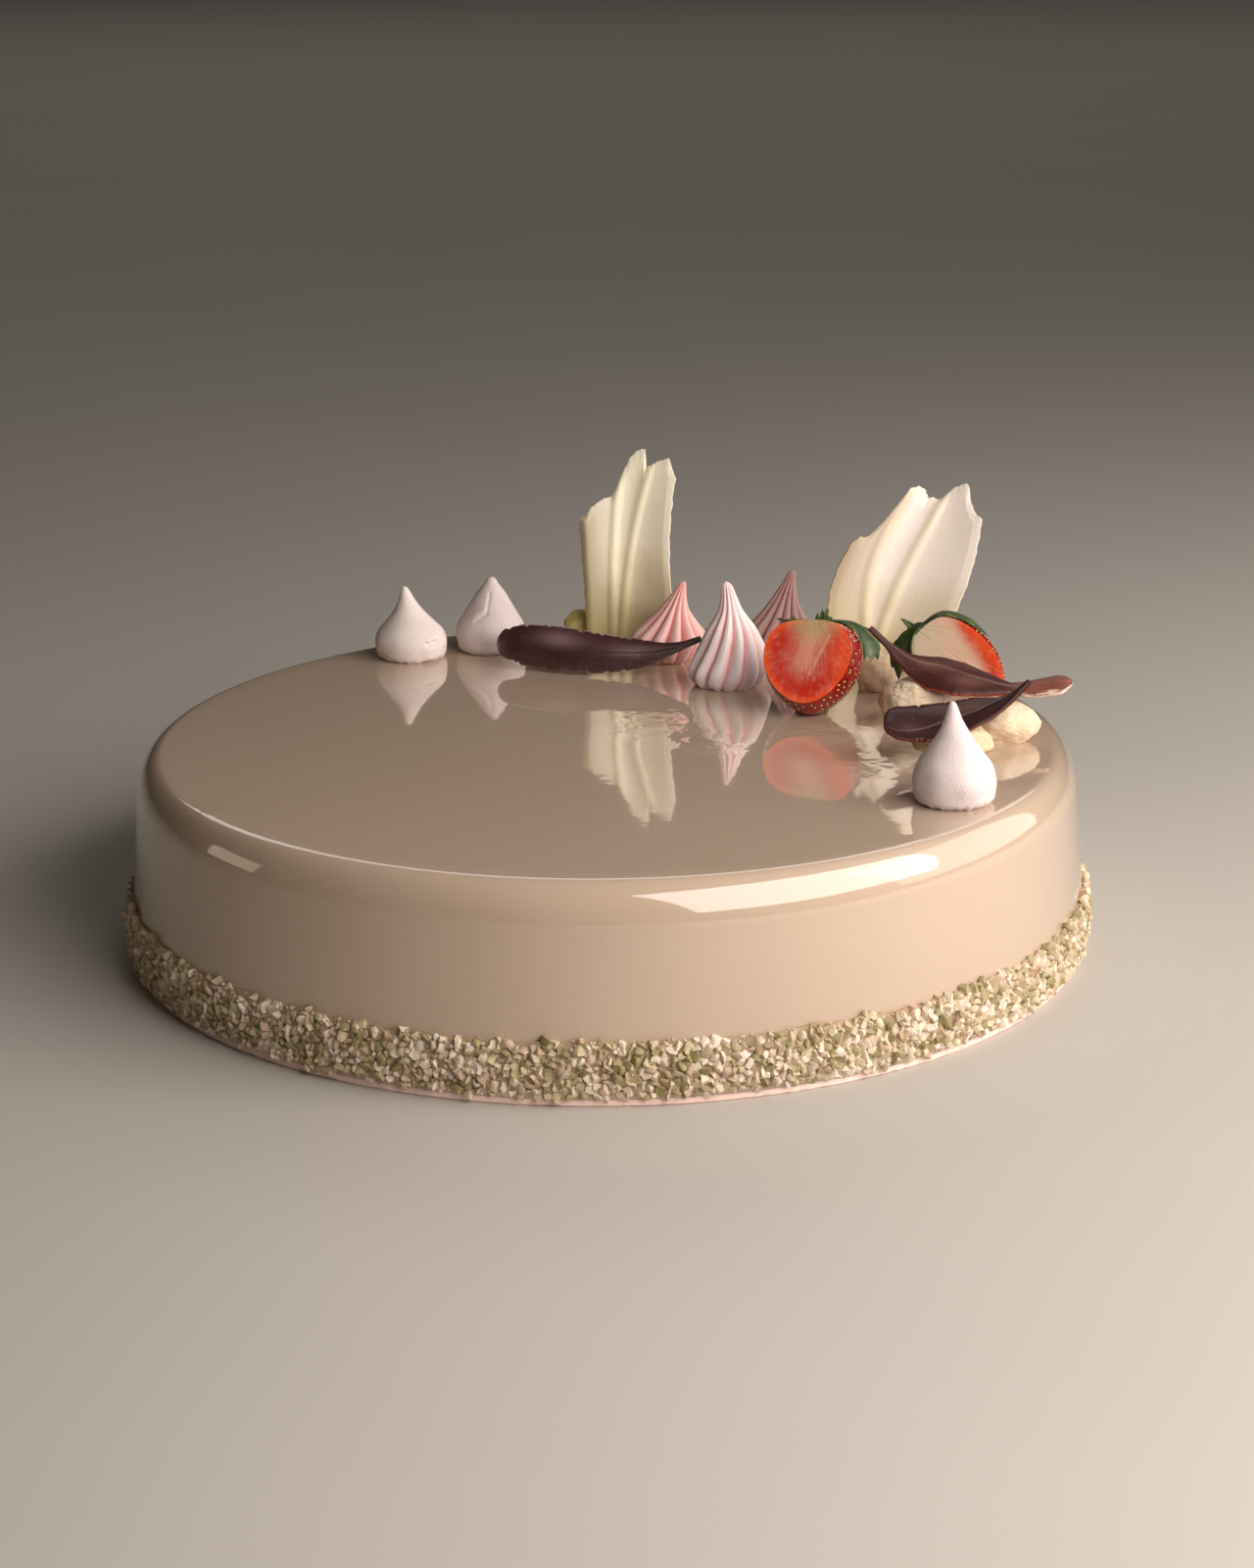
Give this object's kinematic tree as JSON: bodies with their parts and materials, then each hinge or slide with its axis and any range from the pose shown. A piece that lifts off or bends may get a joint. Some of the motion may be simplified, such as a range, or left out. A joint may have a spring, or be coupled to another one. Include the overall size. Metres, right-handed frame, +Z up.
{
  "type": "blackcurrant torte",
  "caption": "Round glazed torte with a chopped nut border, topped with piped meringues, chocolate feathers and shards, and halved strawberries.",
  "frame": {"origin": "middle of the flat underside", "axes": "+Z up, -Y towards the front that the picture shows, +X to its right"},
  "size_m": [0.2636, 0.2636, 0.1127],
  "materials": {
    "base_layer": "thin smooth pinkish beige base, matte",
    "glaze": "milky coffee coloured mirror glaze, very glossy",
    "nuts": "chopped pale nuts, matte and grainy",
    "meringue": "baked white meringue, matte with fine pits",
    "pink_meringue": "baked pink meringue piped through a star tip, matte",
    "white_chocolate": "white chocolate, satin, combed into rounded ribs",
    "dark_chocolate": "dark chocolate, brushed satin to glossy",
    "strawberry": "cut strawberry, moist flesh and glossy seeded skin",
    "leaf": "green strawberry leaves, slightly waxy",
    "cream": "rough cream coloured pieces, matte and bumpy"
  },
  "bodies": {
    "root": {"base_layer": "base_layer", "torte": "glaze", "meringue_left": "meringue", "meringue_back": "meringue", "meringue_front": "meringue", "pink_kiss_left": "pink_meringue", "pink_kiss_middle": "pink_meringue", "pink_kiss_right": "pink_meringue", "white_shard_left": "white_chocolate", "white_shard_right": "white_chocolate", "dark_feather_left": "dark_chocolate", "dark_feather_back": "dark_chocolate", "dark_feather_front": "dark_chocolate", "strawberry_left": "strawberry", "strawberry_right": "strawberry", "calyx_left": "leaf", "calyx_right": "leaf", "cream_piece_middle": "cream", "cream_piece_right": "cream", "cream_piece_front": "cream", "cream_piece_shaded": "cream", "cream_piece_back": "cream"}
  },
  "joints": []
}
